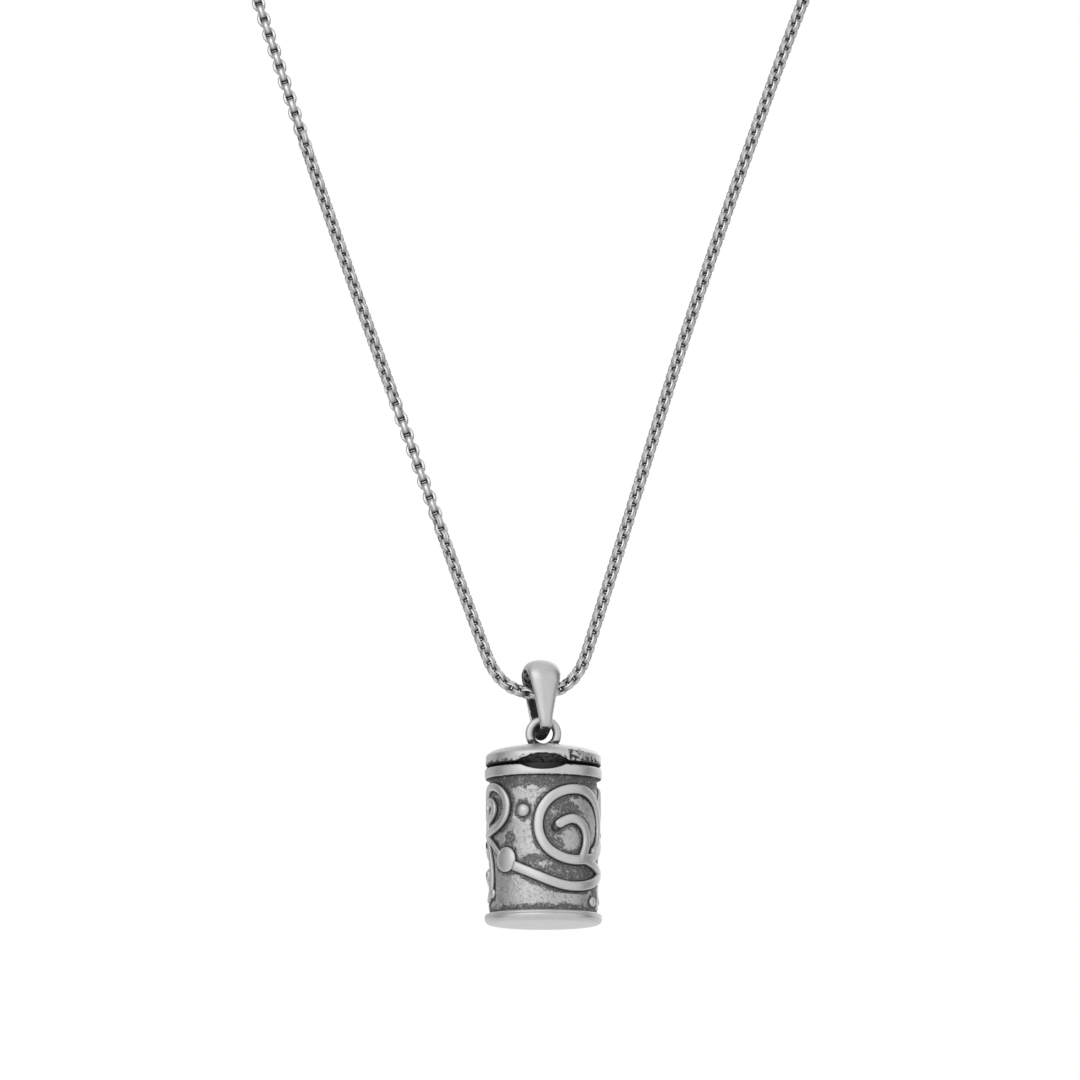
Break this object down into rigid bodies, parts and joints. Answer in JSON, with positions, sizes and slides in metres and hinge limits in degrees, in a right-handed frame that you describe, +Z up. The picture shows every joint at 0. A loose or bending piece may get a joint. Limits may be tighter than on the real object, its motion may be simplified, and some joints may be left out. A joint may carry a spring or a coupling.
{
  "type": "canister pendant necklace",
  "caption": "Silver lidded canister pendant with scroll relief, hinged lid, eye and bail, hanging on a round box chain with a sprung clasp.",
  "frame": {"origin": "the top of the chain loop, on the chain's centre line, where the necklace is carried", "axes": "+Z up along the canister's axis, the canister's front faces -Y, +X to the wearer's left as seen from the front"},
  "size_m": [0.104, 0.0191, 0.219],
  "materials": {
    "oxidised_silver": "oxidised in the recesses, worn bright on the raised parts",
    "satin_silver": "satin",
    "bright_silver": "polished with dark joints",
    "spring_steel": "bright"
  },
  "bodies": {
    "necklace": {"chain": "bright_silver", "end_cap_right": "bright_silver", "end_cap_left": "bright_silver", "jump_ring": "bright_silver", "end_ring": "bright_silver", "clasp_body": "bright_silver", "clasp_rivet": "bright_silver", "clasp_spring": "spring_steel"},
    "clasp_lever": {"clasp_lever": "bright_silver"},
    "bail": {"bail": "satin_silver"},
    "lid": {"lid_plate": "satin_silver", "lid_lip": "satin_silver", "lid_eye": "satin_silver", "lid_knuckle": "satin_silver"},
    "canister": {"barrel": "oxidised_silver", "base_plate": "satin_silver", "base_rim": "satin_silver", "mouth_rim": "satin_silver", "large_scroll_front": "oxidised_silver", "large_scroll_rear": "oxidised_silver", "leaf_stem_front": "oxidised_silver", "leaf_stem_rear": "oxidised_silver", "small_scroll_front": "oxidised_silver", "small_scroll_rear": "oxidised_silver", "side_vine_front": "oxidised_silver", "side_vine_rear": "oxidised_silver", "grain_wires": "oxidised_silver", "foot_discs": "oxidised_silver", "pearls": "oxidised_silver", "small_grains": "oxidised_silver", "rim_knuckles": "satin_silver", "hinge_pin": "satin_silver"}
  },
  "joints": [
    {"name": "lever_press", "type": "hinge", "parent": "necklace", "child": "clasp_lever", "pos_m": [0.0013, 0, -0.001], "axis": [0, 1, 0], "range_deg": [0, 20], "stiffness_Nm_per_rad": 0.004, "springref_deg": -5.73},
    {"name": "bail_swing", "type": "hinge", "parent": "necklace", "child": "bail", "pos_m": [0, 0, -0.1823], "axis": [1, 0, 0], "range_deg": [-60, 60]},
    {"name": "lid_sway", "type": "hinge", "parent": "bail", "child": "lid", "pos_m": [0, 0, -0.1882], "axis": [0, 1, 0], "range_deg": [-45, 45]},
    {"name": "lid_hinge", "type": "hinge", "parent": "lid", "child": "canister", "pos_m": [0, 0.0095, -0.19312], "axis": [1, 0, 0], "range_deg": [0, 110]}
  ]
}
